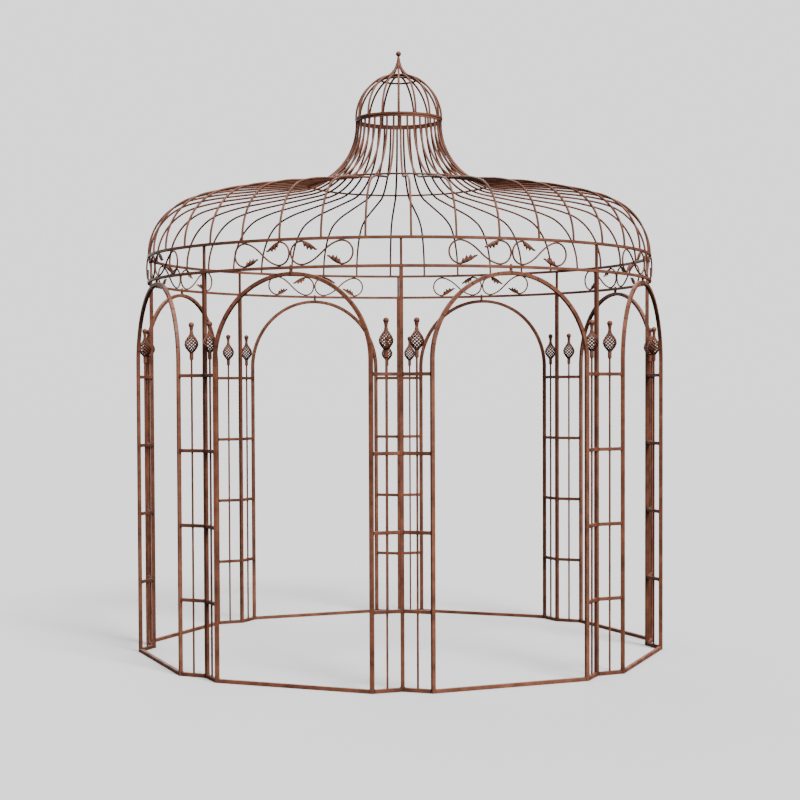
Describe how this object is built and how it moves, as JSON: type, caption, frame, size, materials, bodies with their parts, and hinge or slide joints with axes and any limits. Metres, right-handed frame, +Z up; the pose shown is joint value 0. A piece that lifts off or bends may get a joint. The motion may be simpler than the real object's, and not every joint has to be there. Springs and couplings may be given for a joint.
{
  "type": "round garden gazebo",
  "caption": "Round open garden gazebo of rust-brown wrought iron: arched bays, V-shaped pillar panels with basket finials, scroll frieze, ribbed roof and lantern cap.",
  "frame": {"origin": "on the vertical axis, at the level of the ground under the base bars", "axes": "+Z up along the vertical axis; -Y towards the front pillar"},
  "size_m": [3.3116, 3.3116, 3.7932],
  "materials": {
    "square_tube": "rust-brown powder coat, satin",
    "ring_tube": "rust-brown powder coat, satin",
    "round_bar": "rust-brown powder coat, satin",
    "scroll_bar": "rust-brown powder coat, satin",
    "twisted_wire": "rust-brown powder coat, satin"
  },
  "bodies": {
    "root": {"arch_1": "square_tube", "arch_2": "square_tube", "arch_3": "square_tube", "arch_4": "square_tube", "arch_5": "square_tube", "arch_6": "square_tube", "arch_7": "square_tube", "arch_8": "square_tube", "pillar_1": "square_tube", "pillar_2": "square_tube", "pillar_3": "square_tube", "pillar_4": "square_tube", "pillar_5": "square_tube", "pillar_6": "square_tube", "pillar_7": "square_tube", "pillar_8": "square_tube", "finials_1": "twisted_wire", "finials_2": "twisted_wire", "finials_3": "twisted_wire", "finials_4": "twisted_wire", "finials_5": "twisted_wire", "finials_6": "twisted_wire", "finials_7": "twisted_wire", "finials_8": "twisted_wire", "frieze_1": "scroll_bar", "frieze_2": "scroll_bar", "frieze_3": "scroll_bar", "frieze_4": "scroll_bar", "frieze_5": "scroll_bar", "frieze_6": "scroll_bar", "frieze_7": "scroll_bar", "frieze_8": "scroll_bar", "roof_1": "round_bar", "roof_2": "round_bar", "roof_3": "round_bar", "roof_4": "round_bar", "roof_5": "round_bar", "roof_6": "round_bar", "roof_7": "round_bar", "roof_8": "round_bar", "rings": "ring_tube", "collars": "round_bar", "neck_ring": "ring_tube", "cap": "round_bar", "spire": "round_bar"}
  },
  "joints": []
}
